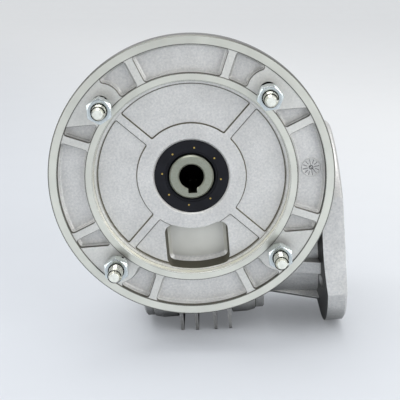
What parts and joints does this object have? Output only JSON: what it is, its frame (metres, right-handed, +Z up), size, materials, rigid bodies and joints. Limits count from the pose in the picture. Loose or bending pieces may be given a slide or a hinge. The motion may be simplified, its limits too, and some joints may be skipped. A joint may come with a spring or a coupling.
{
  "type": "worm gearbox",
  "caption": "Worm gearbox with a round motor flange, hollow keyed input shaft, hollow output shaft and a round output flange on one side, ratio 30 to 1.",
  "frame": {"origin": "centre of the output hollow shaft's bore, midway along it", "axes": "+X along the output shaft to the output flange, -Y out of the motor flange along the worm shaft, +Z up from the wheel to the worm"},
  "size_m": [0.165, 0.153, 0.1925],
  "materials": {
    "cast_aluminium": "as-cast, machined rims",
    "zinc_steel": "zinc plated",
    "bolt_zinc": "zinc plated, cut tip",
    "nut_zinc": "bright zinc plated",
    "gasket_paper": "pressed fibre",
    "copper_washer": "soft copper",
    "black_rubber": "moulded nitrile",
    "spring_steel": "phosphated",
    "ground_steel": "ground",
    "bearing_steel": "polished",
    "bronze": "machined bronze",
    "cast_iron_hub": "machined"
  },
  "bodies": {
    "gearbox": {"gearcase": "cast_aluminium", "motor_flange": "cast_aluminium", "side_cover": "cast_aluminium", "output_flange": "cast_aluminium", "side_cover_gasket": "gasket_paper", "output_flange_gasket": "gasket_paper", "motor_flange_gasket": "gasket_paper", "side_cover_screws": "zinc_steel", "output_flange_screws": "zinc_steel", "motor_flange_screws": "zinc_steel", "motor_bolts": "bolt_zinc", "spring_washers": "zinc_steel", "motor_nuts": "nut_zinc", "oil_plugs": "zinc_steel", "plug_washers": "copper_washer", "input_seal": "black_rubber", "output_seal_left": "black_rubber", "output_seal_right": "black_rubber", "rear_circlip": "spring_steel", "rear_cap": "black_rubber", "front_bearing_spacer": "ground_steel", "front_bearing_outer_ring": "bearing_steel", "rear_bearing_outer_ring": "bearing_steel", "left_bearing_outer_ring": "bearing_steel", "right_bearing_outer_ring": "bearing_steel"},
    "worm": {"worm_shaft": "ground_steel", "front_bearing_inner_ring": "bearing_steel", "front_bearing_balls": "bearing_steel", "rear_bearing_inner_ring": "bearing_steel", "rear_bearing_balls": "bearing_steel"},
    "output": {"output_hub": "cast_iron_hub", "wheel_rim": "bronze", "left_bearing_inner_ring": "bearing_steel", "left_bearing_balls": "bearing_steel", "right_bearing_inner_ring": "bearing_steel", "right_bearing_balls": "bearing_steel"}
  },
  "joints": [
    {"name": "output_turn", "type": "hinge", "parent": "gearbox", "child": "output", "pos_m": [0, 0, 0], "axis": [1, 0, 0], "continuous": true},
    {"name": "worm_turn", "type": "hinge", "parent": "gearbox", "child": "worm", "pos_m": [0, 0, 0.05], "axis": [0, 1, 0], "continuous": true}
  ],
  "couplings": [
    {"joint": "worm_turn", "follows": "output_turn", "ratio": 30}
  ]
}
